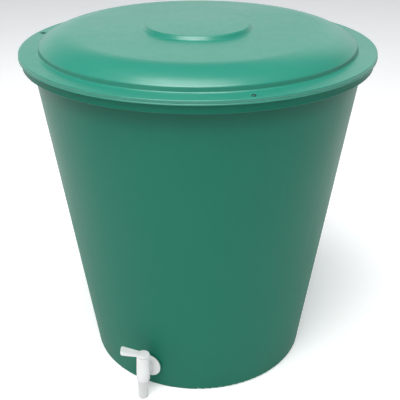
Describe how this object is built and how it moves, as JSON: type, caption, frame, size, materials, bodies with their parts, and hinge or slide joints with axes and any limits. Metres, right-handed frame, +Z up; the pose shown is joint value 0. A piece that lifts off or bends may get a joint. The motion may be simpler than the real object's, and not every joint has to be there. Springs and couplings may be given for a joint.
{
  "type": "rain barrel",
  "caption": "Round tapered plastic rain barrel with a domed lift-off lid held by screws, and a quarter-turn tap with a hose spout near the base.",
  "frame": {"origin": "centre of the flat ring that the barrel stands on, at floor level, on the barrel's axis", "axes": "+Z up along the barrel's axis, -Y the front; the tap stands on the wall 23.7 degrees round from the front towards -X"},
  "size_m": [0.6304, 0.6304, 0.6489],
  "materials": {
    "green_tub_plastic": "satin",
    "green_lid_plastic": "satin",
    "white_plastic": "satin",
    "black_rubber": "matte",
    "screw_steel": "satin"
  },
  "bodies": {
    "tub": {"barrel": "green_tub_plastic", "tap_body": "white_plastic", "tap_gasket": "black_rubber", "tap_washer": "black_rubber", "tap_nut": "white_plastic"},
    "lid": {"lid": "green_lid_plastic"},
    "screw_1": {"lid_screw_1": "screw_steel"},
    "screw_2": {"lid_screw_2": "screw_steel"},
    "screw_3": {"lid_screw_3": "screw_steel"},
    "valve": {"tap_plug": "white_plastic", "plug_o_ring_lower": "black_rubber", "plug_o_ring_upper": "black_rubber", "tap_lever": "white_plastic"}
  },
  "joints": [
    {"name": "lid_lift", "type": "slide", "parent": "tub", "child": "lid", "axis": [0, 0, 1], "range_m": [0, 0.3]},
    {"name": "screw_1_out", "type": "slide", "parent": "lid", "child": "screw_1", "axis": [0, 0, 1], "range_m": [0, 0.025]},
    {"name": "screw_2_out", "type": "slide", "parent": "lid", "child": "screw_2", "axis": [0, 0, 1], "range_m": [0, 0.025]},
    {"name": "screw_3_out", "type": "slide", "parent": "lid", "child": "screw_3", "axis": [0, 0, 1], "range_m": [0, 0.025]},
    {"name": "tap_turn", "type": "hinge", "parent": "tub", "child": "valve", "pos_m": [-0.10129, -0.23075, 0.056], "axis": [0.0383, -0.0168, 0.9991], "range_deg": [-23.1, 66.9]}
  ]
}
